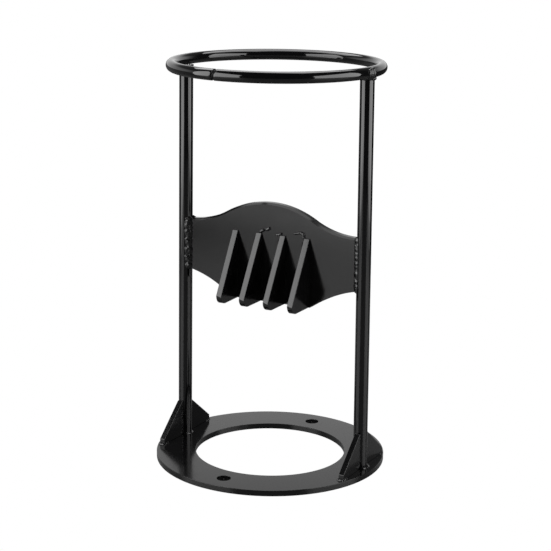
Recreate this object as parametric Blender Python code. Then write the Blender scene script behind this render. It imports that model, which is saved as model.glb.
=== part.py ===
"""Kindling splitter stand: a welded steel stand that small logs are split on.

A flat ring plate carries two round uprights, each held by two gussets. A hoop of round bar joins
their tops, and an upright blade plate between them carries four triangular fins on its front.
Each weld is a piece of its own, because it is metal laid down in its own place.

Metres, +Z up. The origin is the centre of the ring plate's underside. The uprights stand on the
X axis, and the fins point to -Y, the front.
"""

from math import asin, atan2, cos, pi, radians, sin, sqrt

import bmesh
import bpy
from mathutils import Vector

GAP = 0.0003  # clearance between two pieces that meet

# Ring plate
PLATE_RADIUS = 0.125
PLATE_THICKNESS = 0.0062
PLATE_OPENING_RADIUS = 0.082
BOLT_HOLE_RADIUS = 0.0075
BOLT_HOLE_DISTANCE = 0.103  # from the ring's centre, front and rear

# Uprights, which lean in slightly towards their tops
UPRIGHT_RADIUS = 0.0075
UPRIGHT_FOOT_X = 0.1095
UPRIGHT_TOP_X = 0.1068

# Hoop: a bar bent to a ring, closed by a butt weld that lies a little below its surface
HOOP_RADIUS = 0.1091
HOOP_BAR_RADIUS = 0.0061
HOOP_HEIGHT = 0.4291
HOOP_OFFSET_X = 0.0028  # the hoop sits this far off centre, towards the right upright
HOOP_SEAM_ANGLE = radians(264.2)
HOOP_SEAM_WIDTH = 0.0026
HOOP_SEAM_DEPTH = 0.0006

# Blade plate. Its hump and its two lower ends are a little uneven, as the real plate's are.
BLADE_THICKNESS = 0.008
BLADE_PEAK = 0.2832
BLADE_SHOULDER = 0.2565
BLADE_CROWN_RADIUS = 0.1047
BLADE_CROWN_X = -0.0015
BLADE_BLEND_RADIUS = 0.093
BLADE_EDGE_BEVEL = 0.002  # along the top edge, on the front
BLADE_BOTTOM = 0.1747
BLADE_BOTTOM_HALF = 0.048  # half length of the bottom edge's flat middle
BLADE_END_BOTTOM = {"left": 0.2003, "right": 0.1992}
BLADE_SCOOP_HANDLES = {  # of the curve from the flat to the end
    "left": ((0.060, 0.1851), (0.078, 0.1956)),
    "right": ((0.060, 0.1826), (0.078, 0.1944)),
}

# Spreader fins
FIN_COUNT = 4
FIN_PITCH = 0.0288
FIN_OFFSET_X = 0.0006  # the row of fins sits this far off centre, towards the right upright
FIN_THICKNESS = 0.0062
FIN_DEPTH = 0.0388  # out from the blade's face
FIN_TOP = 0.2497
FIN_TOP_FLAT = 0.0012
FIN_BOTTOM = 0.1749
FIN_TIP_TOP = 0.1847  # where the sloping edge meets the upright cut at the fin's tip
FIN_CORNER_RADIUS = 0.0095
FIN_TURNS = (radians(1.7), 0, 0, 0)  # the first fin is welded on a little askew

# Gussets
GUSSET_THICKNESS = 0.006
GUSSET_X = 0.1102
GUSSET_REACH = {"front": 0.0482, "rear": 0.0503}  # from the upright's axis
GUSSET_TOP = {"front": 0.0457, "rear": 0.0432}
GUSSET_TOP_FLAT = 0.002
GUSSET_TOE = 0.006  # upright cut at the outer corner, above the plate

# Welds. A leg is how far a bead spreads on each of the two pieces that it joins.
BLADE_WELD_LEG = 0.0058
BLADE_WELD_CROWN = 0.0006
BLADE_WELD_OVERRUN = 0.002  # how far the bead runs past the blade's end, above and below
BLADE_WELD_TAPER = 0.003
FOOT_WELD_LEG = 0.0042
HOOP_WELD_LEG = 0.0034
HOOP_WELD_RISE = 0.003  # how far the collar climbs the hoop's sides
GUSSET_WELD_LEG = {"front": 0.0025, "rear": 0.0014}  # the rear ones stand close to the ring's edge
GUSSET_WELD_LENGTH = 0.008  # in from the gusset's outer end, along each side
FIN_WELD_LEG = 0.0034
FIN_WELD_TAPER = 0.005
FIN_WELD_MARGIN = 0.003  # bare length at the fin's top and foot
FILLET_SHAPE = ((0, 0), (1, 0), (0.6, 0.6), (0, 1))  # a bead's section, with legs of 1

SIDES = (("left", -1), ("right", 1))
FACES = (("front", -1), ("rear", 1))

BLACK_PAINT = (0.012, 0.012, 0.013, 1.0)
ROUND_EDGE_ANGLE = radians(40)
WELD_EDGE_ANGLE = radians(60)


def clear_scene():
    for obj in list(bpy.data.objects):
        bpy.data.objects.remove(obj, do_unlink=True)


def paint(name, roughness):
    material = bpy.data.materials.new(name)
    material.use_nodes = True
    shader = material.node_tree.nodes["Principled BSDF"]
    shader.inputs["Base Color"].default_value = BLACK_PAINT
    shader.inputs["Roughness"].default_value = roughness
    shader.inputs["Metallic"].default_value = 0.0
    material.diffuse_color = BLACK_PAINT
    return material


def add_object(name, mesh, material, parent, smooth_angle=None):
    """Adds the mesh to the stand, shaded smooth up to the angle, if one is given."""
    mesh.materials.append(material)
    if smooth_angle:
        mesh.shade_smooth()
        mesh.set_sharp_from_angle(angle=smooth_angle)
    obj = bpy.data.objects.new(name, mesh)
    bpy.context.scene.collection.objects.link(obj)
    obj.parent = parent
    return obj


def mesh_from_rings(name, rings, wrap=False):
    """A closed mesh through rings of equally many points: capped, or wrapped from last to first."""
    bm = bmesh.new()
    loops = [[bm.verts.new(point) for point in ring] for ring in rings]
    count = len(loops[0])
    pairs = list(zip(loops, loops[1:]))
    if wrap:
        pairs.append((loops[-1], loops[0]))
    for lower, upper in pairs:
        for i in range(count):
            j = (i + 1) % count
            bm.faces.new((lower[i], lower[j], upper[j], upper[i]))
    if not wrap:
        bm.faces.new(loops[0][::-1])
        bm.faces.new(loops[-1])
    bmesh.ops.recalc_face_normals(bm, faces=bm.faces)
    mesh = bpy.data.meshes.new(name)
    bm.to_mesh(mesh)
    bm.free()
    return mesh


def plate_across_x(name, outline, thickness):
    """A plate square to the X axis, from its outline of (y, z) points."""
    sides = (-thickness / 2, thickness / 2)
    return mesh_from_rings(name, [[Vector((x, y, z)) for y, z in outline] for x in sides])


def arc(centre, radius, start, end, steps):
    """Points of an arc in a plane, from the start angle to the end angle."""
    points = []
    for i in range(steps + 1):
        angle = start + (end - start) * i / steps
        points.append((centre[0] + radius * cos(angle), centre[1] + radius * sin(angle)))
    return points


def bezier(a, b, c, d, steps):
    """Points of a cubic curve in a plane."""
    points = []
    for i in range(steps + 1):
        t = i / steps
        s = 1 - t
        weights = (s ** 3, 3 * s * s * t, 3 * s * t * t, t ** 3)
        points.append(tuple(sum(w * p[k] for w, p in zip(weights, (a, b, c, d))) for k in (0, 1)))
    return points


def circle(centre_x, radius, z, steps):
    """Points of a level circle centred on the X axis."""
    full_turn = arc((centre_x, 0), radius, 0, 2 * pi, steps)[:-1]
    return [Vector((x, y, z)) for x, y in full_turn]


def cutter_from(name, mesh):
    cutter = bpy.data.objects.new(name, mesh)
    bpy.context.scene.collection.objects.link(cutter)
    cutter.hide_render = True
    cutter.display_type = "WIRE"
    return cutter


def cut(obj, cutter):
    modifier = obj.modifiers.new(cutter.name, "BOOLEAN")
    modifier.operation = "DIFFERENCE"
    modifier.solver = "EXACT"
    modifier.object = cutter


def upright_x(side, height):
    """X of an upright's axis at a height. Side is -1 for the left upright and 1 for the right."""
    share = (height - PLATE_THICKNESS) / (HOOP_HEIGHT - PLATE_THICKNESS)
    return side * (UPRIGHT_FOOT_X + (UPRIGHT_TOP_X - UPRIGHT_FOOT_X) * share)


def make_base_plate(parent):
    steps = 96
    profile = (
        (PLATE_RADIUS, 0),
        (PLATE_RADIUS, PLATE_THICKNESS),
        (PLATE_OPENING_RADIUS, PLATE_THICKNESS),
        (PLATE_OPENING_RADIUS, 0),
    )
    rings = [circle(0, radius, z, steps) for radius, z in profile]
    mesh = mesh_from_rings("base_plate", rings, wrap=True)
    plate = add_object("base_plate", mesh, paint("plate_paint", 0.22), parent, ROUND_EDGE_ANGLE)
    for face_name, face in FACES:
        name = f"{face_name}_bolt_hole"
        ends = (-PLATE_THICKNESS, 2 * PLATE_THICKNESS)
        hole = mesh_from_rings(name, [circle(0, BOLT_HOLE_RADIUS, z, 24) for z in ends])
        cutter = cutter_from(name, hole)
        cutter.location.y = face * BOLT_HOLE_DISTANCE
        cutter.rotation_euler.z = radians(5)  # keeps its corners off the ring's own edges
        cut(plate, cutter)


def make_uprights(parent, material):
    ends = (PLATE_THICKNESS + GAP, HOOP_HEIGHT - HOOP_BAR_RADIUS - GAP)
    for side_name, side in SIDES:
        name = f"{side_name}_upright"
        rings = [circle(upright_x(side, z), UPRIGHT_RADIUS, z, 32) for z in ends]
        add_object(name, mesh_from_rings(name, rings), material, parent, ROUND_EDGE_ANGLE)


def hoop_section(angle, bar_radius, steps):
    """The section of a hoop bar at an angle round the hoop, about the hoop's centre."""
    section = arc((HOOP_RADIUS, 0), bar_radius, 0, 2 * pi, steps)[:-1]
    return [Vector((r * cos(angle), r * sin(angle), z)) for r, z in section]


def make_hoop(parent, material):
    """The bent bar, open at its seam, and the butt weld that fills the seam."""
    steps = 80
    section_steps = 14
    half_seam = HOOP_SEAM_WIDTH / 2 / HOOP_RADIUS
    half_weld = half_seam - GAP / HOOP_RADIUS
    sweep = 2 * pi - 2 * half_seam
    bar_angles = [HOOP_SEAM_ANGLE + half_seam + sweep * i / steps for i in range(steps + 1)]
    weld_angles = [HOOP_SEAM_ANGLE - half_weld, HOOP_SEAM_ANGLE + half_weld]
    pieces = (
        ("top_hoop", bar_angles, HOOP_BAR_RADIUS, material),
        ("hoop_butt_weld", weld_angles, HOOP_BAR_RADIUS - HOOP_SEAM_DEPTH, paint("seam_paint", 0.4)),
    )
    for name, angles, radius, piece_material in pieces:
        mesh = mesh_from_rings(name, [hoop_section(angle, radius, section_steps) for angle in angles])
        piece = add_object(name, mesh, piece_material, parent, ROUND_EDGE_ANGLE)
        piece.location = (HOOP_OFFSET_X, 0, HOOP_HEIGHT)


def blade_outline():
    """The blade's right lower edge, top edge and left lower edge, as (x, z) points in order."""
    crown = (BLADE_CROWN_X, BLADE_PEAK - BLADE_CROWN_RADIUS)
    blend_height = BLADE_SHOULDER + BLADE_BLEND_RADIUS
    rise = blend_height - crown[1]
    run = sqrt((BLADE_CROWN_RADIUS + BLADE_BLEND_RADIUS) ** 2 - rise ** 2)
    meet = atan2(rise, run)  # where the crown's arc turns into a blend's

    def end_x(height):
        return upright_x(1, height) - UPRIGHT_RADIUS - GAP

    def lower_edge(side_name):
        flat_end = (BLADE_BOTTOM_HALF, BLADE_BOTTOM)
        end = (end_x(BLADE_END_BOTTOM[side_name]), BLADE_END_BOTTOM[side_name])
        return bezier(flat_end, *BLADE_SCOOP_HANDLES[side_name], end, 8)

    top = [(end_x(BLADE_SHOULDER), BLADE_SHOULDER)]
    top += arc((crown[0] + run, blend_height), BLADE_BLEND_RADIUS, -pi / 2, meet - pi, 6)
    top += arc(crown, BLADE_CROWN_RADIUS, meet, pi - meet, 16)[1:]
    top += arc((crown[0] - run, blend_height), BLADE_BLEND_RADIUS, -meet, -pi / 2, 6)[1:]
    top += [(-end_x(BLADE_SHOULDER), BLADE_SHOULDER)]
    return lower_edge("right"), top, [(-x, z) for x, z in reversed(lower_edge("left"))]


def moved_in(points, amount):
    """Points of a top edge moved in square to the edge, with its two ends moved straight down."""
    moved = [(points[0][0], points[0][1] - amount)]
    for before, point, after in zip(points, points[1:], points[2:]):
        along = (Vector(after) - Vector(before)).normalized()
        moved.append((point[0] - along.y * amount, point[1] + along.x * amount))
    moved.append((points[-1][0], points[-1][1] - amount))
    return moved


def make_blade(parent):
    right, top, left = blade_outline()
    full = right + top + left
    bevelled = right + moved_in(top, BLADE_EDGE_BEVEL) + left
    half = BLADE_THICKNESS / 2
    layers = ((half, full), (BLADE_EDGE_BEVEL - half, full), (-half, bevelled))
    rings = [[Vector((x, y, z)) for x, z in outline] for y, outline in layers]
    mesh = mesh_from_rings("splitting_blade", rings)
    add_object("splitting_blade", mesh, paint("blade_paint", 0.15), parent)


def fin_x(number):
    return (number - (FIN_COUNT + 1) / 2) * FIN_PITCH + FIN_OFFSET_X


def place_on_blade(piece, number):
    """Puts a piece made round the middle of a fin's back edge where that fin stands."""
    piece.location = (fin_x(number), -BLADE_THICKNESS / 2 - GAP, 0)
    piece.rotation_euler.z = FIN_TURNS[number - 1]


def make_fins(parent, material):
    """Spreader fins: right-angled plates, their upright edge on the blade and their slope in front."""
    tip = GAP - FIN_DEPTH
    corner = (tip + FIN_CORNER_RADIUS, FIN_BOTTOM + FIN_CORNER_RADIUS)
    outline = [(0, FIN_BOTTOM), (0, FIN_TOP), (-FIN_TOP_FLAT, FIN_TOP), (tip, FIN_TIP_TOP)]
    outline += arc(corner, FIN_CORNER_RADIUS, pi, 1.5 * pi, 4)
    for number in range(1, FIN_COUNT + 1):
        name = f"spreader_fin_{number}"
        fin = add_object(name, plate_across_x(name, outline, FIN_THICKNESS), material, parent)
        place_on_blade(fin, number)


def make_fin_welds(parent, material):
    """A fillet weld down the left side of each fin, tapered at both ends."""
    bottom = FIN_BOTTOM + FIN_WELD_MARGIN
    top = FIN_TOP - FIN_WELD_MARGIN
    stations = (
        (bottom, 0.4),
        (bottom + FIN_WELD_TAPER, 1),
        (top - FIN_WELD_TAPER, 1),
        (top, 0.4),
    )
    side = -FIN_THICKNESS / 2 - GAP
    for number in range(1, FIN_COUNT + 1):
        rings = []
        for z, share in stations:
            leg = FIN_WELD_LEG * share
            rings.append([Vector((side - leg * u, -leg * v, z)) for u, v in FILLET_SHAPE])
        name = f"fin_weld_{number}"
        weld = add_object(name, mesh_from_rings(name, rings), material, parent, WELD_EDGE_ANGLE)
        place_on_blade(weld, number)


def make_gussets(parent, material):
    """Gussets: one in front of each upright and one behind it, standing on the plate."""
    foot = PLATE_THICKNESS + GAP
    inner = UPRIGHT_RADIUS + GAP
    for side_name, side in SIDES:
        for face_name, face in FACES:
            name = f"{side_name}_{face_name}_gusset"
            reach = GUSSET_REACH[face_name]
            top = GUSSET_TOP[face_name]
            outline = (
                (inner, foot),
                (reach, foot),
                (reach, PLATE_THICKNESS + GUSSET_TOE),
                (inner + GUSSET_TOP_FLAT, top),
                (inner, top),
            )
            mesh = plate_across_x(name, [(face * y, z) for y, z in outline], GUSSET_THICKNESS)
            gusset = add_object(name, mesh, material, parent)
            gusset.location.x = side * GUSSET_X


def gusset_weld_stations(reach):
    """Stations of a bead round a gusset's foot: each a point on the foot's edge and its outward way."""
    half = GUSSET_THICKNESS / 2
    start = reach - GUSSET_WELD_LENGTH
    stations = [((half, start), 0)]
    stations += [((half, reach), turn) for turn in (0, pi / 4, pi / 2)]
    stations += [((-half, reach), turn) for turn in (pi / 2, 3 * pi / 4, pi)]
    stations += [((-half, start), pi)]
    return stations


def make_gusset_welds(parent, material):
    """A fillet weld round each gusset's outer end: out along one side, round the end and back."""
    foot = PLATE_THICKNESS + GAP
    for side_name, side in SIDES:
        for face_name, face in FACES:
            leg = GUSSET_WELD_LEG[face_name]
            rings = []
            for (x, y), turn in gusset_weld_stations(GUSSET_REACH[face_name]):
                ring = []
                for away, up in FILLET_SHAPE:
                    reach = GAP + away * leg
                    ring.append(
                        Vector((x + reach * cos(turn), face * (y + reach * sin(turn)), foot + up * leg))
                    )
                rings.append(ring)
            name = f"{side_name}_{face_name}_gusset_weld"
            weld = add_object(name, mesh_from_rings(name, rings), material, parent, WELD_EDGE_ANGLE)
            weld.location.x = side * GUSSET_X


def make_foot_welds(parent, material):
    """Fillet welds round each upright's foot, in two lengths between the gussets."""
    foot = PLATE_THICKNESS + GAP
    inner = UPRIGHT_RADIUS + GAP
    section = [(inner + u * FOOT_WELD_LEG, foot + v * FOOT_WELD_LEG) for u, v in FILLET_SHAPE]
    end_clearance = radians(1)
    half_sweep = pi / 2 - asin((GUSSET_THICKNESS / 2 + GAP) / inner) - end_clearance
    steps = 10
    for side_name, side in SIDES:
        for length_name, middle in (("outer", 0), ("inner", pi)):
            rings = []
            for i in range(steps + 1):
                angle = middle - half_sweep + 2 * half_sweep * i / steps
                rings.append([Vector((side * r * cos(angle), r * sin(angle), z)) for r, z in section])
            name = f"{side_name}_foot_weld_{length_name}"
            weld = add_object(name, mesh_from_rings(name, rings), material, parent, WELD_EDGE_ANGLE)
            weld.location.x = upright_x(side, PLATE_THICKNESS)


def blade_weld_section(share):
    """A bead's section, as distances in from the upright's axis and out from the blade's middle."""
    round_face = UPRIGHT_RADIUS + GAP
    flat_face = BLADE_THICKNESS / 2 + GAP
    leg = BLADE_WELD_LEG * share
    corner = asin(flat_face / round_face)
    on_upright = arc((0, 0), round_face, corner, corner + leg / round_face, 3)
    blade_toe = (on_upright[0][0] + leg, flat_face)
    middle = (Vector(on_upright[-1]) + Vector(blade_toe)) / 2
    crest = (middle.x, middle.y + BLADE_WELD_CROWN * share)
    return on_upright + [crest, blade_toe]


def make_blade_welds(parent, material):
    """Fillet welds between each end of the blade and its upright, front and rear."""
    top = BLADE_SHOULDER + BLADE_WELD_OVERRUN
    for side_name, side in SIDES:
        bottom = BLADE_END_BOTTOM[side_name] - BLADE_WELD_OVERRUN
        stations = (
            (bottom, 0.5),
            (bottom + BLADE_WELD_TAPER, 1),
            (top - BLADE_WELD_TAPER, 1),
            (top, 0.5),
        )
        for face_name, face in FACES:
            rings = []
            for z, share in stations:
                axis = upright_x(side, z)
                section = blade_weld_section(share)
                rings.append([Vector((axis - side * u, face * v, z)) for u, v in section])
            name = f"{side_name}_{face_name}_blade_weld"
            add_object(name, mesh_from_rings(name, rings), material, parent, WELD_EDGE_ANGLE)


def make_hoop_welds(parent, material):
    """A collar of weld round each upright's top, which climbs the hoop's sides where it meets them."""
    steps = 24
    inner = UPRIGHT_RADIUS + GAP
    outer = inner + HOOP_WELD_LEG
    seat = HOOP_HEIGHT - HOOP_BAR_RADIUS
    sections = [hoop_section(2 * pi * i / 96, HOOP_BAR_RADIUS + GAP, 24) for i in range(96)]
    cutter = cutter_from("hoop_channel", mesh_from_rings("hoop_channel", sections, wrap=True))
    cutter.location = (HOOP_OFFSET_X, 0, HOOP_HEIGHT)
    for side_name, side in SIDES:
        centre_x = upright_x(side, seat)
        bar_x = side * HOOP_RADIUS + HOOP_OFFSET_X
        rings = []
        for i in range(steps):
            angle = 2 * pi * i / steps
            from_bar = abs(centre_x + outer * cos(angle) - bar_x)
            climbs = from_bar < HOOP_BAR_RADIUS + HOOP_WELD_LEG
            top = seat - GAP + (HOOP_WELD_RISE if climbs else 0)
            profile = (
                (inner, seat - 1.6 * HOOP_WELD_LEG),
                (outer, seat - 0.2 * HOOP_WELD_LEG),
                (outer, top),
                (inner, top),
            )
            rings.append([Vector((centre_x + r * cos(angle), r * sin(angle), z)) for r, z in profile])
        name = f"{side_name}_hoop_weld"
        mesh = mesh_from_rings(name, rings, wrap=True)
        cut(add_object(name, mesh, material, parent, WELD_EDGE_ANGLE), cutter)


def main():
    clear_scene()
    stand = bpy.data.objects.new("kindling_splitter_stand", None)
    bpy.context.scene.collection.objects.link(stand)
    bar_paint = paint("bar_paint", 0.18)
    fin_paint = paint("fin_paint", 0.2)
    weld_paint = paint("weld_paint", 0.3)
    make_base_plate(stand)
    make_uprights(stand, bar_paint)
    make_hoop(stand, bar_paint)
    make_blade(stand)
    make_fins(stand, fin_paint)
    make_gussets(stand, fin_paint)
    make_hoop_welds(stand, weld_paint)
    make_blade_welds(stand, weld_paint)
    make_foot_welds(stand, weld_paint)
    make_gusset_welds(stand, weld_paint)
    make_fin_welds(stand, weld_paint)


main()
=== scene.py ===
"""Finished look of the kindling splitter stand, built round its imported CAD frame.

Every CAD node is replaced by a finer piece of the same size: plates with softened edges, bars with
more sides, and welds with the lumps and ripples of the real bead. All of it is gloss black paint.

Metres, +Z up, in the frame of the CAD part. The uprights stand on the X axis, and the fins point
to -Y, the front.
"""

from collections import namedtuple
from math import asin, atan2, cos, pi, radians, sin, sqrt

import bmesh
import bpy
from mathutils import Matrix, Vector, noise

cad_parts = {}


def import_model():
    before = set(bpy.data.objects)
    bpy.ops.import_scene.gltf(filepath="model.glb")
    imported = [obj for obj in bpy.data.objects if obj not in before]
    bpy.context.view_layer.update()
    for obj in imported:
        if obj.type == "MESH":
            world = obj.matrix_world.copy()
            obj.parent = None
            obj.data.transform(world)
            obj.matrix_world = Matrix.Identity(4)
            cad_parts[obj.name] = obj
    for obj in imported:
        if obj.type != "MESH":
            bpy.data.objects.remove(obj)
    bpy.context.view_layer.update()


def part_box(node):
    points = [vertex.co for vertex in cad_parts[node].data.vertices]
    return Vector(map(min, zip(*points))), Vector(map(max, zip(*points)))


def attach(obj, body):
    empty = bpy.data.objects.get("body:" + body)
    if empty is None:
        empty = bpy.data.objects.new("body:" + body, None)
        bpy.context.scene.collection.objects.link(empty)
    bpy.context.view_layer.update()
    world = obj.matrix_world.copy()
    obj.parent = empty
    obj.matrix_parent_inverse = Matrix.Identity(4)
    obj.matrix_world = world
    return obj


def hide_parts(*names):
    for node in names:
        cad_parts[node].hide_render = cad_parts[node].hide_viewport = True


SIDES = (("left", -1), ("right", 1))
FACES = (("front", -1), ("rear", 1))
UP = Vector((0, 0, 1))
WHITE = (1.0, 1.0, 1.0, 1.0)

# Camera
CAMERA_AZIMUTH = radians(27.84)  # from the front towards the right
CAMERA_ELEVATION = radians(14.04)
CAMERA_ROLL = radians(0.66)
CAMERA_DISTANCE = 1.6723
CAMERA_SHIFT_RIGHT = 0.00383  # of the point it looks at, from the stand's axis
CAMERA_LOOK_HEIGHT = 0.20332
CAMERA_LENS = 101.55  # mm
CAMERA_SENSOR = 36  # mm

# Sizes that the boxes of the CAD nodes don't give
PLATE_OPENING_RADIUS = 0.082
BOLT_HOLE_RADIUS = 0.0075
BOLT_HOLE_DISTANCE = 0.103
HOOP_SEAM_ANGLE = radians(264.2)
HOOP_SEAM_WIDTH = 0.0026
HOOP_CUT_LEAN = 0.25  # slope of the bar's two cut ends against upright
BLADE_CROWN_RADIUS = 0.1047
BLADE_CROWN_X = -0.0015
BLADE_BLEND_RADIUS = 0.093
BLADE_SHOULDER = 0.2565
BLADE_EDGE_BEVEL = 0.002
BLADE_BOTTOM_HALF = 0.048
BLADE_END_BOTTOM = {"left": 0.2003, "right": 0.1992}
BLADE_SCOOP_HANDLES = {
    "left": ((0.060, 0.1851), (0.078, 0.1956)),
    "right": ((0.060, 0.1826), (0.078, 0.1944)),
}
FIN_COUNT = 4
FIN_PITCH = 0.0288
FIN_OFFSET_X = 0.0006
FIN_THICKNESS = 0.0062
FIN_TOP_FLAT = 0.0012
FIN_TIP_TOP = 0.1847
FIN_CORNER_RADIUS = 0.0095
FIN_TURNS = (radians(1.7), 0, 0, 0)
GUSSET_TOP_FLAT = 0.002
GUSSET_TOE = 0.006

# Softened edges: the paint rounds each corner that the cutting left
PLATE_EDGE = 0.0003
THIN_EDGE = 0.0004
HOOP_CUT_EDGE = 0.0006
FIN_EDGE = 0.0006

# Fineness of the round shapes
PLATE_STEPS = 256
BOLT_HOLE_STEPS = 64
EDGE_STEPS = 4
UPRIGHT_STEPS = 72
UPRIGHT_LEVELS = 12
HOOP_STEPS = 320
HOOP_BAR_STEPS = 40

# Welds
SINK = 0.00015  # how deep a weld's toes sit in the metal, so that no gap shows
ROOT_DEPTH = 0.001  # how deep its root does

# A bead's leg is how far it reaches along each of the two metals. Its dabs are pitch long, its face
# bulges by crown, ripple is how much of that the dabs take, and lump is how uneven it is. Its ends
# taper over reach, and its face has as many strips as across says.
Bead = namedtuple("Bead", "leg pitch crown ripple lump reach across")
BLADE_BEADS = {
    "left": Bead(0.0052, 0.0088, 0.0005, 0.3, 0.0004, 0.004, 14),
    "right": Bead(0.0031, 0.0088, 0.0005, 0.3, 0.0003, 0.004, 14),
}
FOOT_BEADS = {
    "left": Bead(0.0016, 0.0046, 0.0003, 0.3, 0.0001, 0.002, 10),
    "right": Bead(0.0030, 0.0046, 0.0003, 0.3, 0.0003, 0.002, 10),
}
GUSSET_BEADS = {
    "front": Bead(0.0021, 0.0045, 0.0003, 0.4, 0.0003, 0.002, 8),
    "rear": Bead(0.0012, 0.0045, 0.0003, 0.4, 0.0003, 0.002, 8),
}
FIN_BEAD = Bead(0.0032, 0.0055, 0.0005, 0.5, 0.0003, 0.003, 8)
FOOT_WELD_HALF_SWEEP = radians(70)

# How a bead laid by hand varies: by how much, and in how many waves to a metre
BEAD_WANDER = 0.12  # share of its size
BEAD_WANDER_SCALE = 300
BEAD_JITTER = 0.16  # of its dabs' places, in pitches
BEAD_JITTER_SCALE = 120
BEAD_LUMP_SCALE = 420
BEAD_LAG = 0.35  # how far a dab's edge trails at the toes, in pitches
BEAD_NECK = 0.10  # how much narrower a fully rippled bead is between two dabs
DAB_HEIGHT = 1.6  # of a dab's middle, against the bead's mean
DAB_ROUNDNESS = 0.6

# The hoop's butt weld lies lower than the bar's surface, most of all at its two edges
SEAM_STEPS = 4  # to each side
SEAM_OVERLAP = 1.3
SEAM_DIP = 0.0011
SEAM_CROWN = 0.0004
SEAM_LUMP = 0.0002
SEAM_LUMP_SCALE = 700

# The welds under the hoop: dabs round each upright's top, and on the right one three rows of dabs
# that lap up the hoop's outer side. Each row has its angle round the hoop and where it starts and
# stops round the bar, in degrees above the level of the hoop's centre.
HOOP_WELD_DAB = {"left": 0.0009, "right": 0.0019}
HOOP_WELD_DABS = 16
HOOP_WELD_DROP = 0.0006  # under the bar
HOOP_LAP_ROWS = ((-0.130, -80, 40), (-0.090, -80, 55), (-0.055, -60, 50))
HOOP_LAP_PITCH = 15
HOOP_LAP_DAB = (0.0019, 0.0024, 0.0021)
HOOP_LAP_SINK = 0.0004
DAB_VOXEL = 0.00035

# Marks of weld metal on the blade over the fins' tops, for each fin: x, z and size
FIN_TOP_MARKS = {
    2: (
        (-0.0115, 0.2515, 0.0012),
        (-0.0095, 0.2528, 0.0013),
        (-0.0040, 0.2543, 0.0014),
        (-0.0020, 0.2555, 0.0013),
    ),
    3: (
        (0.0085, 0.2500, 0.0011),
        (0.0105, 0.2503, 0.0012),
        (0.0125, 0.2512, 0.0011),
    ),
    4: (
        (0.0290, 0.2532, 0.0009),
        (0.0310, 0.2538, 0.0010),
        (0.0330, 0.2543, 0.0011),
        (0.0350, 0.2548, 0.0011),
        (0.0370, 0.2549, 0.0011),
        (0.0388, 0.2540, 0.0012),
        (0.0395, 0.2520, 0.0011),
        (0.0397, 0.2500, 0.0011),
    ),
}
MARK_SINK = 0.0005
MARK_VOXEL = 0.0002

# Paint: its two tones of black with their places in the patches, and the patches' fineness
PAINT_TONES = ((0.30, (0.0018, 0.0018, 0.0020, 1)), (0.75, (0.0030, 0.0029, 0.0032, 1)))
PAINT_PATCH_SCALE = 55
PEEL_HEIGHT = 0.0001

# Side walls of light: how far towards the camera and how far to its right each stands, and its width
SIDE_WALLS = {"left": (0.675, -1.0, 1.34), "right": (0.75, 1.2, 1.57)}

# Their parts: where each starts and ends above the floor, and how bright it is
WALL_PARTS = (
    ("foot", 0.0, 0.05, 1.6),
    ("middle", 0.05, 0.12, 3.2),
    ("main", 0.12, 1.30, 4.4),
)

# Floor
FLOOR_RADIUS = 1.3
FLOOR_FORWARD = 0.45  # of its middle, towards the camera
FLOOR_GAP = 0.0002  # under the ring plate
FLOOR_GREY = (0.18, 0.18, 0.18, 1)
FLOOR_ROUGHNESS = 0.3

# Backdrop: how bright it is behind the stand, low down and higher up, how bright the floor is far
# off behind on the left, and how bright all the rest is
LOW_BACKDROP = 0.86
HIGH_BACKDROP = 0.1
FAR_FLOOR = 0.12
AMBIENT = 0.03
BACKDROP_FADE = (17, 30)  # degrees up, from low to high
BACKDROP_SPREAD = (-165, 55, 85)  # degrees: its middle, and where its full and its last light end
FAR_FLOOR_SPREAD = (-125, 30, 50)
HORIZON = 0.01  # half its blur


# Mesh helpers


def arc(centre, radius, start, end, steps):
    """Points of an arc in a plane, from the start angle to the end angle."""
    points = []
    for i in range(steps + 1):
        angle = start + (end - start) * i / steps
        points.append((centre[0] + radius * cos(angle), centre[1] + radius * sin(angle)))
    return points


def circle(centre, radius, steps):
    """Points of a full circle in a plane."""
    return arc(centre, radius, 0, 2 * pi, steps)[:-1]


def bezier(a, b, c, d, steps):
    """Points of a cubic curve in a plane."""
    points = []
    for i in range(steps + 1):
        t = i / steps
        s = 1 - t
        weights = (s ** 3, 3 * s * s * t, 3 * s * t * t, t ** 3)
        points.append(tuple(sum(w * p[k] for w, p in zip(weights, (a, b, c, d))) for k in (0, 1)))
    return points


def mesh_from_bmesh(name, bm):
    """A mesh made from a bmesh, which is freed."""
    mesh = bpy.data.meshes.new(name)
    bm.to_mesh(mesh)
    bm.free()
    return mesh


def mesh_from_rings(name, rings, wrap=False):
    """A closed mesh through rings of equally many points: capped, or wrapped from last to first."""
    bm = bmesh.new()
    loops = [[bm.verts.new(point) for point in ring] for ring in rings]
    count = len(loops[0])
    pairs = list(zip(loops, loops[1:]))
    if wrap:
        pairs.append((loops[-1], loops[0]))
    for lower, upper in pairs:
        for i in range(count):
            j = (i + 1) % count
            bm.faces.new((lower[i], lower[j], upper[j], upper[i]))
    if not wrap:
        bm.faces.new(loops[0][::-1])
        bm.faces.new(loops[-1])
    bmesh.ops.recalc_face_normals(bm, faces=bm.faces)
    return mesh_from_bmesh(name, bm)


def turned(name, profile, steps, centre=(0, 0)):
    """A mesh turned about a vertical axis from a closed profile of (radius, z) points."""
    rings = [[Vector((x, y, z)) for x, y in circle(centre, r, steps)] for r, z in profile]
    return mesh_from_rings(name, rings, wrap=True)


def plate_across_x(name, outline, low_x, high_x):
    """A plate square to the X axis, from its outline of (y, z) points."""
    return mesh_from_rings(name, [[Vector((x, y, z)) for y, z in outline] for x in (low_x, high_x)])


def joined(name, *parts):
    """One mesh of several."""
    bm = bmesh.new()
    for part in parts:
        bm.from_mesh(part)
    return mesh_from_bmesh(name, bm)


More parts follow.
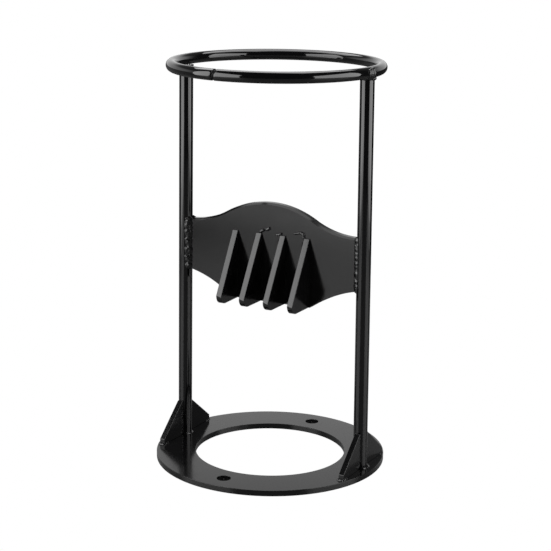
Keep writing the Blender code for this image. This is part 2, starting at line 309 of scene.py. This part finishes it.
def new_object(name, data):
    """A new object in the scene."""
    thing = bpy.data.objects.new(name, data)
    bpy.context.scene.collection.objects.link(thing)
    return thing


def finished_mesh(thing):
    """The object's mesh with its modifiers applied."""
    graph = bpy.context.evaluated_depsgraph_get()
    return bpy.data.meshes.new_from_object(thing.evaluated_get(graph))


def add_piece(node, mesh, material, sharp_angle=radians(50)):
    """Adds a piece that stands for a CAD node and rides where it does."""
    mesh.shade_smooth()
    mesh.set_sharp_from_angle(angle=sharp_angle)
    mesh.materials.append(material)
    piece = new_object("painted_" + node, mesh)
    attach(piece, "root")
    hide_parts(node)
    return piece


def add_weld(node, mesh, material):
    """Adds a weld, which has no sharp edges."""
    add_piece(node, mesh, material, radians(180))


def keep_faces_flat(piece):
    """Keeps flat faces flat in the shading, beside rounded edges."""
    normals = piece.modifiers.new("flat faces", "WEIGHTED_NORMAL")
    normals.mode = "FACE_AREA"
    normals.weight = 50
    normals.keep_sharp = False


def soften(piece, width):
    """Rounds the piece's edges."""
    bevel = piece.modifiers.new("soft edges", "BEVEL")
    bevel.width = width
    bevel.segments = 3
    bevel.limit_method = "ANGLE"
    bevel.angle_limit = radians(28)
    bevel.harden_normals = False
    keep_faces_flat(piece)


# Materials


def add_node(nodes, kind, **values):
    """A new node with some of its inputs set, each named with underscores for its spaces."""
    node = nodes.new(kind)
    for key, value in values.items():
        node.inputs[key.replace("_", " ")].default_value = value
    return node


def new_material(name):
    """A new material, its nodes and its links."""
    material = bpy.data.materials.new(name)
    material.use_nodes = True
    return material, material.node_tree.nodes, material.node_tree.links


def gloss_paint(name, roughness, peel, peel_size=0.0022, reflectivity=0.5, grime=0.03):
    """Gloss black paint: orange peel in the surface, and a roughness that wanders a little."""
    material, nodes, links = new_material(name)
    shader = nodes["Principled BSDF"]
    shader.inputs["Specular IOR Level"].default_value = reflectivity
    shader.inputs["Metallic"].default_value = 0.0
    place = nodes.new("ShaderNodeTexCoord")

    patches = add_node(nodes, "ShaderNodeTexNoise", Scale=PAINT_PATCH_SCALE, Detail=5)
    links.new(place.outputs["Object"], patches.inputs["Vector"])
    tone = nodes.new("ShaderNodeValToRGB")
    for element, (position, colour) in zip(tone.color_ramp.elements, PAINT_TONES):
        element.position = position
        element.color = colour
    links.new(patches.outputs["Fac"], tone.inputs["Fac"])
    links.new(tone.outputs["Color"], shader.inputs["Base Color"])

    gloss = add_node(
        nodes,
        "ShaderNodeMapRange",
        From_Min=0.3,
        From_Max=0.7,
        To_Min=roughness,
        To_Max=roughness + grime,
    )
    links.new(patches.outputs["Fac"], gloss.inputs["Value"])
    links.new(gloss.outputs["Result"], shader.inputs["Roughness"])

    orange_peel = add_node(nodes, "ShaderNodeTexNoise", Scale=1 / peel_size, Detail=2)
    links.new(place.outputs["Object"], orange_peel.inputs["Vector"])
    bump = add_node(nodes, "ShaderNodeBump", Strength=peel, Distance=PEEL_HEIGHT)
    links.new(orange_peel.outputs["Fac"], bump.inputs["Height"])
    links.new(bump.outputs["Normal"], shader.inputs["Normal"])
    return material


# Ring plate


def plate_top():
    """The height of the ring plate's top."""
    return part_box("base_plate")[1].z


def bolt_hole_cutter(name, y, thickness):
    """A cutter for a bolt hole: it opens the hole and rounds its two rims."""
    edge = PLATE_EDGE
    radius = BOLT_HOLE_RADIUS
    flare = radius + 2 * edge
    nearly_axis = 0.0001
    profile = [(flare, -thickness)]
    profile += arc((radius + edge, edge), edge, 1.5 * pi, pi, EDGE_STEPS)
    profile += arc((radius + edge, thickness - edge), edge, pi, pi / 2, EDGE_STEPS)
    profile += [(flare, 2 * thickness), (nearly_axis, 2 * thickness), (nearly_axis, -thickness)]
    return new_object(name, turned(name, profile, BOLT_HOLE_STEPS, (0, y)))


def make_base_plate(material):
    """The ring plate, turned from its section, with the two bolt holes cut into it."""
    outer, _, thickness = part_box("base_plate")[1]
    edge = PLATE_EDGE
    opening = PLATE_OPENING_RADIUS
    profile = arc((outer - edge, edge), edge, -pi / 2, 0, EDGE_STEPS)
    profile += arc((outer - edge, thickness - edge), edge, 0, pi / 2, EDGE_STEPS)
    profile += arc((opening + edge, thickness - edge), edge, pi / 2, pi, EDGE_STEPS)
    profile += arc((opening + edge, edge), edge, pi, 1.5 * pi, EDGE_STEPS)
    mesh = turned("base_plate", profile, PLATE_STEPS)
    plate = add_piece("base_plate", mesh, material)
    cutters = []
    for face_name, face in FACES:
        cutter = bolt_hole_cutter(face_name + "_bolt_hole", face * BOLT_HOLE_DISTANCE, thickness)
        modifier = plate.modifiers.new(cutter.name, "BOOLEAN")
        modifier.operation = "DIFFERENCE"
        modifier.solver = "EXACT"
        modifier.object = cutter
        cutters.append(cutter)
    mesh = finished_mesh(plate)
    plate.modifiers.clear()
    plate.data = mesh
    for cutter in cutters:
        bpy.data.objects.remove(cutter)
    keep_faces_flat(plate)


# Uprights


def upright_axis(side_name):
    """The radius, foot and top of an upright that leans in, as its box shows them."""
    low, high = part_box(side_name + "_upright")
    radius = (high.y - low.y) / 2
    outside, inside = (low.x, high.x) if side_name == "left" else (high.x, low.x)
    side = -1 if side_name == "left" else 1
    foot = Vector((outside - side * radius, 0, low.z))
    top = Vector((inside + side * radius, 0, high.z))
    return radius, foot, top


def upright_x(side_name, height):
    """Where an upright's axis is at a height."""
    _, foot, top = upright_axis(side_name)
    share = (height - foot.z) / (top.z - foot.z)
    return foot.x + (top.x - foot.x) * share


def make_uprights(material):
    """The uprights, with rings close to both ends so that the ends don't bend the shading."""
    edge = THIN_EDGE
    for side_name, _ in SIDES:
        radius, foot, top = upright_axis(side_name)
        levels = [(foot.z, radius - edge), (foot.z + edge, radius), (foot.z + 2 * edge, radius)]
        for i in range(1, UPRIGHT_LEVELS):
            levels.append((foot.z + (top.z - foot.z) * i / UPRIGHT_LEVELS, radius))
        levels += [(top.z - 2 * edge, radius), (top.z - edge, radius), (top.z, radius - edge)]
        rings = []
        for z, r in levels:
            centre = (upright_x(side_name, z), 0)
            rings.append([Vector((x, y, z)) for x, y in circle(centre, r, UPRIGHT_STEPS)])
        node = side_name + "_upright"
        add_piece(node, mesh_from_rings(node, rings), material)


# Hoop


def hoop_sizes():
    """The hoop's centre, the radius of its centre line and the radius of its bar."""
    low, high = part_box("top_hoop")
    bar = (high.z - low.z) / 2
    return (low + high) / 2, (high.x - low.x) / 2 - bar, bar


def hoop_section(angle, bar):
    """A section of the hoop's bar at an angle, leaning like its cut ends."""
    centre, radius, _ = hoop_sizes()
    ring = []
    for r, z in circle((radius, 0), bar, HOOP_BAR_STEPS):
        turn = angle + HOOP_CUT_LEAN * z / radius
        ring.append(centre + Vector((r * cos(turn), r * sin(turn), z)))
    return ring


def hoop_spot(angle, section_angle, distance):
    """A point beside the hoop's bar: section angle 0 is outward and a quarter turn is up."""
    centre, radius, _ = hoop_sizes()
    across = radius + distance * cos(section_angle)
    return centre + Vector((across * cos(angle), across * sin(angle), distance * sin(section_angle)))


def make_hoop(material):
    """The bar, from one side of its seam round to the other."""
    _, radius, bar = hoop_sizes()
    half = HOOP_SEAM_WIDTH / 2 / radius
    margin = HOOP_CUT_EDGE / radius
    start = HOOP_SEAM_ANGLE + half
    sweep = 2 * pi - 2 * half
    rings = [hoop_section(start, bar - HOOP_CUT_EDGE)]
    for i in range(HOOP_STEPS + 1):
        rings.append(hoop_section(start + margin + (sweep - 2 * margin) * (i / HOOP_STEPS), bar))
    rings.append(hoop_section(start + sweep, bar - HOOP_CUT_EDGE))
    add_piece("top_hoop", mesh_from_rings("top_hoop", rings), material)


def make_hoop_butt_weld(material):
    """The weld in the hoop's seam."""
    centre, radius, bar = hoop_sizes()
    half = HOOP_SEAM_WIDTH / 2 / radius
    rings = []
    for i in range(2 * SEAM_STEPS + 1):
        across = i / SEAM_STEPS - 1
        dip = SEAM_DIP - SEAM_CROWN * cos(across * pi / 2)
        ring = []
        for point in hoop_section(HOOP_SEAM_ANGLE + half * across * SEAM_OVERLAP, bar - dip):
            lump = noise.noise(point * SEAM_LUMP_SCALE) * SEAM_LUMP
            ring.append(point + (point - centre).normalized() * lump)
        rings.append(ring)
    mesh = mesh_from_rings("hoop_butt_weld", rings)
    add_piece("hoop_butt_weld", mesh, material)


# Blade


def blade_front():
    """Where the blade's front face is, on the Y axis."""
    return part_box("splitting_blade")[0].y


def blade_end_x(height):
    """How far the blade reaches from the Z axis at a height, up to an upright."""
    return upright_x("right", height) - upright_axis("right")[0]


def blade_lower_edge(side_name):
    """The scoop from the lower edge's flat middle out to an upright, as (x outwards, z) points."""
    flat_end = (BLADE_BOTTOM_HALF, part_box("splitting_blade")[0].z)
    height = BLADE_END_BOTTOM[side_name]
    return bezier(flat_end, *BLADE_SCOOP_HANDLES[side_name], (blade_end_x(height), height), 32)


def blade_top_edge():
    """The shoulders and the hump from right to left, as (x, z) points."""
    crown = (BLADE_CROWN_X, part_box("splitting_blade")[1].z - BLADE_CROWN_RADIUS)
    blend_height = BLADE_SHOULDER + BLADE_BLEND_RADIUS
    rise = blend_height - crown[1]
    run = sqrt((BLADE_CROWN_RADIUS + BLADE_BLEND_RADIUS) ** 2 - rise ** 2)
    meet = atan2(rise, run)  # where the crown's arc turns into a blend's
    end_x = blade_end_x(BLADE_SHOULDER)
    top = [(end_x, BLADE_SHOULDER)]
    top += arc((crown[0] + run, blend_height), BLADE_BLEND_RADIUS, -pi / 2, meet - pi, 28)
    top += arc(crown, BLADE_CROWN_RADIUS, meet, pi - meet, 72)[1:]
    top += arc((crown[0] - run, blend_height), BLADE_BLEND_RADIUS, -meet, -pi / 2, 28)[1:]
    top += [(-end_x, BLADE_SHOULDER)]
    return top


def moved_in(points, amount):
    """Points of a top edge moved in square to the edge, with its two ends moved straight down."""
    moved = [(points[0][0], points[0][1] - amount)]
    for before, point, after in zip(points, points[1:], points[2:]):
        along = (Vector(after) - Vector(before)).normalized()
        moved.append((point[0] - along.y * amount, point[1] + along.x * amount))
    moved.append((points[-1][0], points[-1][1] - amount))
    return moved


def make_blade(material):
    """The blade, with the bevel along the front of its top edge."""
    low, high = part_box("splitting_blade")
    right = blade_lower_edge("right")
    top = blade_top_edge()
    left = [(-x, z) for x, z in reversed(blade_lower_edge("left"))]
    full = right + top + left
    bevelled = right + moved_in(top, BLADE_EDGE_BEVEL) + left
    layers = ((high.y, full), (low.y + BLADE_EDGE_BEVEL, full), (low.y, bevelled))
    rings = [[Vector((x, y, z)) for x, z in outline] for y, outline in layers]
    mesh = mesh_from_rings("splitting_blade", rings)
    soften(add_piece("splitting_blade", mesh, material), THIN_EDGE)


# Fins and gussets


def fin_place(number):
    """Where a fin stands: its back edge's middle on the blade's face, and its turn."""
    x = (number - (FIN_COUNT + 1) / 2) * FIN_PITCH + FIN_OFFSET_X
    return Matrix.Translation((x, blade_front(), 0)) @ Matrix.Rotation(FIN_TURNS[number - 1], 4, "Z")


def make_fins(material):
    """The fins. All take their size from the box of the second, which isn't turned."""
    low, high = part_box("spreader_fin_2")
    tip = low.y - blade_front()
    corner = (tip + FIN_CORNER_RADIUS, low.z + FIN_CORNER_RADIUS)
    outline = [(SINK, low.z), (SINK, high.z), (-FIN_TOP_FLAT, high.z), (tip, FIN_TIP_TOP)]
    outline += arc(corner, FIN_CORNER_RADIUS, pi, 1.5 * pi, 8)
    for number in range(1, FIN_COUNT + 1):
        node = f"spreader_fin_{number}"
        mesh = plate_across_x(node, outline, -FIN_THICKNESS / 2, FIN_THICKNESS / 2)
        mesh.transform(fin_place(number))
        soften(add_piece(node, mesh, material), FIN_EDGE)


def make_gussets(material):
    """The four gussets, each a triangle with its two thin corners cut off."""
    bottom = plate_top()
    for side_name, _ in SIDES:
        for face_name, face in FACES:
            node = f"{side_name}_{face_name}_gusset"
            low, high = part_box(node)
            near, far = sorted((abs(low.y), abs(high.y)))
            outline = (
                (near - SINK, bottom),
                (far, bottom),
                (far, bottom + GUSSET_TOE),
                (near + GUSSET_TOP_FLAT, high.z),
                (near - SINK, high.z),
            )
            outline = [(face * y, z) for y, z in outline]
            mesh = plate_across_x(node, outline, low.x, high.x)
            soften(add_piece(node, mesh, material), THIN_EDGE)


# Welds


def rounded_end(distance, length, reach):
    """How full a bead is at a distance along it: it tapers to a round at both ends."""
    near = min(distance, length - distance)
    if near >= reach:
        return 1.0
    return sqrt(max(0.02, 1 - (1 - near / reach) ** 2))


def bead_section(station, distance, full, bead, seed):
    """A bead's section at a station that is a distance along it: from toe to toe, and the root."""
    root, first, second = station
    outward = ((first + second) / 2 - root).normalized()
    wander = 1 + BEAD_WANDER * noise.noise(Vector((distance * BEAD_WANDER_SCALE, seed, 1.7)))
    jitter = BEAD_JITTER * noise.noise(Vector((distance * BEAD_JITTER_SCALE, seed, 5.1)))
    ring = []
    for i in range(bead.across + 1):
        v = i / bead.across
        u = 2 * v - 1
        dome = 1 - u * u
        dab = abs(sin(pi * (distance / bead.pitch - BEAD_LAG * u * u + jitter)))
        ripple = 1 - bead.ripple + bead.ripple * DAB_HEIGHT * dab ** DAB_ROUNDNESS
        swell = 1 - BEAD_NECK * bead.ripple * (1 - dab)
        point = root + (first.lerp(second, v) - root) * full * wander * swell
        lump = bead.lump * noise.noise(point * BEAD_LUMP_SCALE + Vector((seed, 0, 0)))
        ring.append(point + outward * (bead.crown * ripple + lump) * dome * full)
    ring.append(root)
    return ring


def bead_mesh(name, path, bead, seed):
    """A weld bead along a path of (root, first toe, second toe) stations."""
    distances = [0.0]
    for before, after in zip(path, path[1:]):
        distances.append(distances[-1] + (after[0] - before[0]).length)
    rings = []
    for station, distance in zip(path, distances):
        full = rounded_end(distance, distances[-1], bead.reach)
        rings.append(bead_section(station, distance, full, bead, seed))
    return mesh_from_rings(name, rings)


def ring_plate_station(place, out, leg):
    """A station in the corner between the ring plate and metal whose side faces out."""
    root = place - out * ROOT_DEPTH - UP * ROOT_DEPTH
    return root, place - out * SINK + UP * leg, place + out * leg - UP * SINK


def dabs_mesh(name, dabs, voxel):
    """One skin over many dabs of weld metal, each a (centre, (x, y, z) radii) pair."""
    bm = bmesh.new()
    for centre, radii in dabs:
        made = bmesh.ops.create_icosphere(bm, subdivisions=3, radius=1)
        for vert in made["verts"]:
            bump = 1 + 0.14 * noise.noise(vert.co * 1.9 + centre * 500)
            vert.co = centre + Vector([r * c * bump for r, c in zip(radii, vert.co)])
    holder = new_object(name, mesh_from_bmesh(name, bm))
    remesh = holder.modifiers.new("one skin", "REMESH")
    remesh.mode = "VOXEL"
    remesh.voxel_size = voxel
    smooth = holder.modifiers.new("melt", "SMOOTH")
    smooth.factor = 0.6
    smooth.iterations = 4
    skin = finished_mesh(holder)
    bpy.data.objects.remove(holder)
    return skin


def make_hoop_welds(material):
    """Weld metal round each upright's top. The right one also laps up the outer side of the hoop."""
    centre, _, bar = hoop_sizes()
    height = centre.z - bar - HOOP_WELD_DROP
    for side_name, _ in SIDES:
        node = f"{side_name}_hoop_weld"
        radius, _, top = upright_axis(side_name)
        size = HOOP_WELD_DAB[side_name]
        dabs = []
        for x, y in circle((top.x, 0), radius, HOOP_WELD_DABS):
            dabs.append((Vector((x, y, height)), (size, size, size)))
        if side_name == "right":
            for angle, first, last in HOOP_LAP_ROWS:
                for section_angle in range(first, last, HOOP_LAP_PITCH):
                    spot = hoop_spot(angle, radians(section_angle), bar - HOOP_LAP_SINK)
                    dabs.append((spot, HOOP_LAP_DAB))
        add_weld(node, dabs_mesh(node, dabs, DAB_VOXEL), material)


def blade_weld_path(side_name, side, face, leg, bottom, top, steps=150):
    """Stations of a bead in the corner between the blade's end and an upright."""
    radius = upright_axis(side_name)[0]
    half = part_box("splitting_blade")[1].y
    corner = asin(half / radius)
    across = radius * cos(corner)
    toe_radius = radius - SINK
    toe_angle = corner + leg / radius
    toe_y = face * toe_radius * sin(toe_angle)
    path = []
    for i in range(steps + 1):
        z = bottom + (top - bottom) * i / steps
        axis = upright_x(side_name, z)
        root = Vector((axis - side * (across - ROOT_DEPTH), face * (half - ROOT_DEPTH), z))
        first = Vector((axis - side * toe_radius * cos(toe_angle), toe_y, z))
        second = Vector((axis - side * (across + leg), face * (half - SINK), z))
        path.append((root, first, second))
    return path


def make_blade_welds(material):
    """A bead down each end of the blade, on the front and on the rear."""
    for side_name, side in SIDES:
        bead = BLADE_BEADS[side_name]
        for face_name, face in FACES:
            node = f"{side_name}_{face_name}_blade_weld"
            low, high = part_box(node)
            path = blade_weld_path(side_name, side, face, bead.leg, low.z, high.z)
            add_weld(node, bead_mesh(node, path, bead, side + 3 * face), material)


def make_foot_welds(material):
    """Two lengths of bead round each upright's foot, between the gussets."""
    steps = 64
    for side_name, side in SIDES:
        bead = FOOT_BEADS[side_name]
        radius, foot, _ = upright_axis(side_name)
        centre = Vector((foot.x, 0, plate_top()))
        for length_name, middle in (("outer", 0), ("inner", pi)):
            node = f"{side_name}_foot_weld_{length_name}"
            path = []
            for i in range(steps + 1):
                angle = middle + FOOT_WELD_HALF_SWEEP * (2 * i / steps - 1)
                out = Vector((side * cos(angle), sin(angle), 0))
                path.append(ring_plate_station(centre + out * radius, out, bead.leg))
            add_weld(node, bead_mesh(node, path, bead, side + middle), material)


def round_gusset_end(half, start, reach, side_steps=12, turn_steps=8):
    """Places round a gusset's outer end, each (x, y) on its outline and the angle it faces."""
    quarter = pi / 2
    length = reach - start
    turn = [i / turn_steps for i in range(1, turn_steps + 1)]
    run = [((half, start + length * i / side_steps), 0) for i in range(side_steps + 1)]
    run += [((half, reach), quarter * t) for t in turn]
    run += [((half - 2 * half * t, reach), quarter) for t in turn]
    run += [((-half, reach), quarter * (1 + t)) for t in turn]
    run += [((-half, reach - length * i / side_steps), pi) for i in range(1, side_steps + 1)]
    return run


def make_gusset_welds(material):
    """A bead round each gusset's outer end, from one side to the other."""
    for side_name, side in SIDES:
        for face_name, face in FACES:
            node = f"{side_name}_{face_name}_gusset_weld"
            low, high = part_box(f"{side_name}_{face_name}_gusset")
            weld_low, weld_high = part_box(node)
            half = (high.x - low.x) / 2
            start = min(abs(weld_low.y), abs(weld_high.y))
            reach = max(abs(low.y), abs(high.y))
            bead = GUSSET_BEADS[face_name]
            path = []
            for (x, y), turn in round_gusset_end(half, start, reach):
                out = Vector((cos(turn), face * sin(turn), 0))
                place = Vector(((low.x + high.x) / 2 + x, face * y, plate_top()))
                path.append(ring_plate_station(place, out, bead.leg))
            add_weld(node, bead_mesh(node, path, bead, side + 3 * face), material)


def fin_marks(number):
    """Dabs for the marks that a tack left on the blade over a fin's top."""
    dabs = []
    for x, z, size in FIN_TOP_MARKS[number]:
        dabs.append((Vector((x, blade_front() - MARK_SINK, z)), (1.8 * size, 1.2 * size, 1.4 * size)))
    return dabs


def make_fin_welds(material):
    """A bead down the left side of each fin, and the marks over three of them."""
    leg = FIN_BEAD.leg
    side = -FIN_THICKNESS / 2
    steps = 120
    for number in range(1, FIN_COUNT + 1):
        node = f"fin_weld_{number}"
        low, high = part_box(node)
        path = []
        for i in range(steps + 1):
            z = low.z + (high.z - low.z) * i / steps
            root = Vector((side + ROOT_DEPTH, ROOT_DEPTH, z))
            path.append((root, Vector((side + SINK, -leg, z)), Vector((side - leg, SINK, z))))
        mesh = bead_mesh(node, path, FIN_BEAD, number * 1.3)
        mesh.transform(fin_place(number))
        if number in FIN_TOP_MARKS:
            mesh = joined(node, mesh, dabs_mesh(node + "_marks", fin_marks(number), MARK_VOXEL))
        add_weld(node, mesh, material)


# Stage


def camera_axes():
    """The camera's flat directions: towards it from the stand, and to its right."""
    out = Vector((sin(CAMERA_AZIMUTH), -cos(CAMERA_AZIMUTH), 0))
    right = Vector((cos(CAMERA_AZIMUTH), sin(CAMERA_AZIMUTH), 0))
    return out, right


def around(angle, distance, height):
    """A place round the stand, at an angle from the camera's own, to the camera's right."""
    out, right = camera_axes()
    flat = out * cos(radians(angle)) + right * sin(radians(angle))
    return flat * distance + UP * height


def softbox(name, place, target, width, height, brightness, unlit=(), only=()):
    """A soft light panel. It lights the stand and shows in its paint, but not in the picture.

    It leaves the unlit pieces out, or it lights only the pieces given.
    """
    data = bpy.data.lights.new(name, "AREA")
    data.shape = "RECTANGLE"
    data.size = width
    data.size_y = height
    data.energy = brightness * pi * width * height
    lamp = new_object(name, data)
    lamp.location = place
    lamp.rotation_euler = (place - target).to_track_quat("Z", "Y").to_euler()
    lamp.visible_camera = False
    if unlit or only:
        linked = bpy.data.collections.new(name + " receivers")
        lamp.light_linking.receiver_collection = linked
        for piece in unlit or only:
            linked.objects.link(piece)
            linked.collection_objects[-1].light_linking.link_state = "EXCLUDE" if unlit else "INCLUDE"


def make_lights():
    """Two side walls of light that fade near the floor, a panel overhead, and two for the blade.

    The blade mirrors a card on the floor in its face and a ceiling in its bevel, and is the only
    piece that does. The left wall leaves it out.
    """
    blade = bpy.data.objects["painted_splitting_blade"]
    out, right = camera_axes()
    for part, low, high, brightness in WALL_PARTS:
        for side_name, side in SIDES:
            forward, aside, width = SIDE_WALLS[side_name]
            place = out * forward + right * aside + UP * (low + high) / 2
            unlit = [blade] if side_name == "left" else ()
            name = f"{side_name} wall, {part}"
            softbox(name, place, place - right * side, width, high - low, brightness, unlit)
    place = out * -0.26 - right * 0.04 + UP * 0.84
    softbox("overhead panel", place, place - UP, width=0.60, height=0.45, brightness=4.0)
    place = Vector((-1.00, -0.40, 2.0))
    softbox("ceiling over the bevel", place, place - UP, 4.20, 1.90, brightness=1.9, only=[blade])
    place = around(-56, 1.53, 0.01)
    softbox("card on the floor", place, place + UP, 1.20, 0.66, brightness=1.5, only=[blade])


def show_camera_other(nodes, links, lit, shown, output):
    """Shows the camera one shader, and gives all other rays another."""
    rays = nodes.new("ShaderNodeLightPath")
    mix = nodes.new("ShaderNodeMixShader")
    links.new(rays.outputs["Is Camera Ray"], mix.inputs["Fac"])
    links.new(lit, mix.inputs[1])
    links.new(shown, mix.inputs[2])
    links.new(mix.outputs["Shader"], output.inputs["Surface"])


def make_floor():
    """A pale floor: pure white to look at, and greyer to the light."""
    bm = bmesh.new()
    bmesh.ops.create_circle(bm, cap_ends=True, segments=96, radius=FLOOR_RADIUS)
    floor = new_object("floor", mesh_from_bmesh("floor", bm))
    material, nodes, links = new_material("pale floor")
    shader = nodes["Principled BSDF"]
    shader.inputs["Base Color"].default_value = FLOOR_GREY
    shader.inputs["Roughness"].default_value = FLOOR_ROUGHNESS
    shader.inputs["Specular IOR Level"].default_value = 0.5
    glow = nodes.new("ShaderNodeEmission")
    output = nodes["Material Output"]
    show_camera_other(nodes, links, shader.outputs["BSDF"], glow.outputs["Emission"], output)
    floor.data.materials.append(material)
    floor.location = camera_axes()[0] * FLOOR_FORWARD - UP * FLOOR_GAP


def ramp(tree, source, start, end, low, high):
    """A smooth step from low at the start value to high at the end value."""
    node = add_node(
        tree.nodes,
        "ShaderNodeMapRange",
        From_Min=start,
        From_Max=end,
        To_Min=low,
        To_Max=high,
    )
    node.interpolation_type = "SMOOTHSTEP"
    tree.links.new(source, node.inputs["Value"])
    return node.outputs["Result"]


def toward(tree, direction, angle, narrow, wide):
    """1 within narrow degrees of an angle round the stand, and 0 beyond wide degrees."""
    aim = tree.nodes.new("ShaderNodeVectorMath")
    aim.operation = "DOT_PRODUCT"
    aim.inputs[1].default_value = around(angle, 1, 0)
    tree.links.new(direction, aim.inputs[0])
    return ramp(tree, aim.outputs["Value"], cos(radians(wide)), cos(radians(narrow)), 0, 1)


def calculate(tree, operation, first, second):
    """A sum or product of two outputs, or of an output and a number."""
    node = tree.nodes.new("ShaderNodeMath")
    node.operation = operation
    for i, value in enumerate((first, second)):
        if isinstance(value, float):
            node.inputs[i].default_value = value
        else:
            tree.links.new(value, node.inputs[i])
    return node.outputs["Value"]


def backdrop_brightness(tree):
    """How bright the studio is in each direction: most of all low down behind the stand."""
    direction = tree.nodes.new("ShaderNodeTexCoord").outputs["Generated"]
    split = tree.nodes.new("ShaderNodeSeparateXYZ")
    tree.links.new(direction, split.inputs["Vector"])
    height = split.outputs["Z"]
    start, end = [sin(radians(angle)) for angle in BACKDROP_FADE]
    level = ramp(tree, height, start, end, LOW_BACKDROP, HIGH_BACKDROP)
    above = ramp(tree, height, -HORIZON, HORIZON, 0, 1)
    below = ramp(tree, height, -HORIZON, HORIZON, 1, 0)
    rear = calculate(tree, "MULTIPLY", toward(tree, direction, *BACKDROP_SPREAD), level)
    rear = calculate(tree, "MULTIPLY", rear, above)
    far_floor = calculate(tree, "MULTIPLY", toward(tree, direction, *FAR_FLOOR_SPREAD), below)
    far_floor = calculate(tree, "MULTIPLY", far_floor, FAR_FLOOR)
    return calculate(tree, "ADD", calculate(tree, "ADD", rear, far_floor), AMBIENT)


def make_world():
    """A white studio: pure white to look at, and dimmer to the light."""
    world = bpy.data.worlds.new("studio")
    bpy.context.scene.world = world
    world.use_nodes = True
    tree = world.node_tree
    backdrop = tree.nodes["Background"]
    backdrop.inputs["Color"].default_value = WHITE
    tree.links.new(backdrop_brightness(tree), backdrop.inputs["Strength"])
    lit = backdrop.outputs["Background"]
    shown = add_node(tree.nodes, "ShaderNodeBackground", Color=WHITE).outputs["Background"]
    show_camera_other(tree.nodes, tree.links, lit, shown, tree.nodes["World Output"])


def make_camera():
    """The camera, aimed at a point beside the stand's axis and rolled a little."""
    out, right = camera_axes()
    target = right * CAMERA_SHIFT_RIGHT + UP * CAMERA_LOOK_HEIGHT
    back = out * cos(CAMERA_ELEVATION) + UP * sin(CAMERA_ELEVATION)
    up = back.cross(right)
    rolled_right = right * cos(CAMERA_ROLL) + up * sin(CAMERA_ROLL)
    rolled_up = back.cross(rolled_right)
    data = bpy.data.cameras.new("camera")
    data.lens = CAMERA_LENS
    data.sensor_width = CAMERA_SENSOR
    data.clip_start = 0.05
    camera = new_object("camera", data)
    turn = Matrix((rolled_right, rolled_up, back)).transposed()
    camera.matrix_world = Matrix.Translation(target + back * CAMERA_DISTANCE) @ turn.to_4x4()
    bpy.context.scene.camera = camera


def make_stand():
    """Every piece of the stand, in its paint."""
    bars = gloss_paint("gloss black on bars", roughness=0.05, peel=0.02, grime=0.02)
    ring = gloss_paint("gloss black on the ring", roughness=0.13, peel=0.10)
    blade = gloss_paint("gloss black on the blade", roughness=0.12, peel=0.10)
    fins = gloss_paint("gloss black on fins and gussets", roughness=0.16, peel=0.06)
    welds = gloss_paint("gloss black on welds", roughness=0.20, peel=0.08, peel_size=0.0012)
    seam = gloss_paint("black in the hoop's seam", 0.50, 0.3, peel_size=0.0010, reflectivity=0.12)
    make_base_plate(ring)
    make_uprights(bars)
    make_hoop(bars)
    make_hoop_butt_weld(seam)
    make_blade(blade)
    make_fins(fins)
    make_gussets(fins)
    make_hoop_welds(welds)
    make_blade_welds(welds)
    make_foot_welds(welds)
    make_gusset_welds(welds)
    make_fin_welds(welds)


def main():
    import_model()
    bpy.context.scene.view_settings.view_transform = "Standard"
    make_camera()
    make_world()
    make_floor()
    make_stand()
    make_lights()


main()
